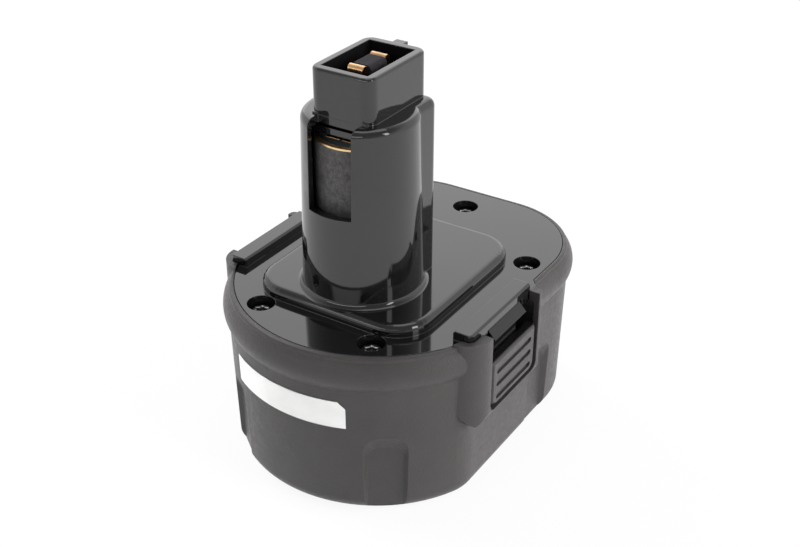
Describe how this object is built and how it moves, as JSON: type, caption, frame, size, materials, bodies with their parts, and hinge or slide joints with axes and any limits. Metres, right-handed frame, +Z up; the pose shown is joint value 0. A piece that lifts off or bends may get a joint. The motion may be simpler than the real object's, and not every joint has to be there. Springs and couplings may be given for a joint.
{
  "type": "power tool battery pack",
  "caption": "Stem type rechargeable battery pack with a rounded tub, screwed lid, round stem, terminal tower, spring contacts and side release buttons.",
  "frame": {"origin": "centre of the plan on the ground under the pack", "axes": "+Z up along the stem, +Y from the round end to the square end, +X to the right seen from the round end"},
  "size_m": [0.0806, 0.1, 0.1085],
  "materials": {
    "case_plastic": "fine moulded texture",
    "cover_plastic": "glossy",
    "button_plastic": "fine moulded texture",
    "copper": "bright rolled strip",
    "fibre": "rough",
    "cell_can": "shrink wrap",
    "card": "smooth",
    "foam": "open foam",
    "nickel": "rolled strip",
    "ceramic": "satin",
    "spring_steel": "drawn wire",
    "screw_steel": "black oxide",
    "label_paper": "blank"
  },
  "bodies": {
    "pack": {"lower_case": "case_plastic", "top_cover": "cover_plastic", "terminal_block": "cover_plastic", "positive_contact": "copper", "negative_contact": "copper", "fibre_spacer": "fibre", "stem_cell": "cell_can", "stem_sleeve": "fibre", "stem_ring": "card", "stem_tab": "copper", "stem_seat": "foam", "stem_lead": "nickel", "negative_lead": "nickel", "base_cell_1": "cell_can", "base_cell_2": "cell_can", "base_cell_3": "cell_can", "base_cell_4": "cell_can", "base_cell_5": "cell_can", "base_cell_6": "cell_can", "base_cell_7": "cell_can", "base_cell_8": "cell_can", "base_cell_9": "cell_can", "top_link_1": "nickel", "top_link_2": "nickel", "top_link_3": "nickel", "top_link_4": "nickel", "low_link_1": "nickel", "low_link_2": "nickel", "low_link_3": "nickel", "low_link_4": "nickel", "top_card": "card", "low_card": "card", "thermal_cutout": "ceramic", "right_spring": "spring_steel", "left_spring": "spring_steel", "screw_1": "screw_steel", "screw_2": "screw_steel", "screw_3": "screw_steel", "screw_4": "screw_steel", "screw_5": "screw_steel", "label": "label_paper"},
    "right_release": {"right_button": "button_plastic"},
    "left_release": {"left_button": "button_plastic"}
  },
  "joints": [
    {"name": "right_button_press", "type": "slide", "parent": "pack", "child": "right_release", "axis": [-1, 0, 0], "range_m": [0, 0.0022], "stiffness_N_per_m": 1200, "springref_m": -0.0012, "deforming": ["right_spring"]},
    {"name": "left_button_press", "type": "slide", "parent": "pack", "child": "left_release", "axis": [1, 0, 0], "range_m": [0, 0.0022], "stiffness_N_per_m": 1200, "springref_m": -0.0012, "deforming": ["left_spring"]}
  ]
}
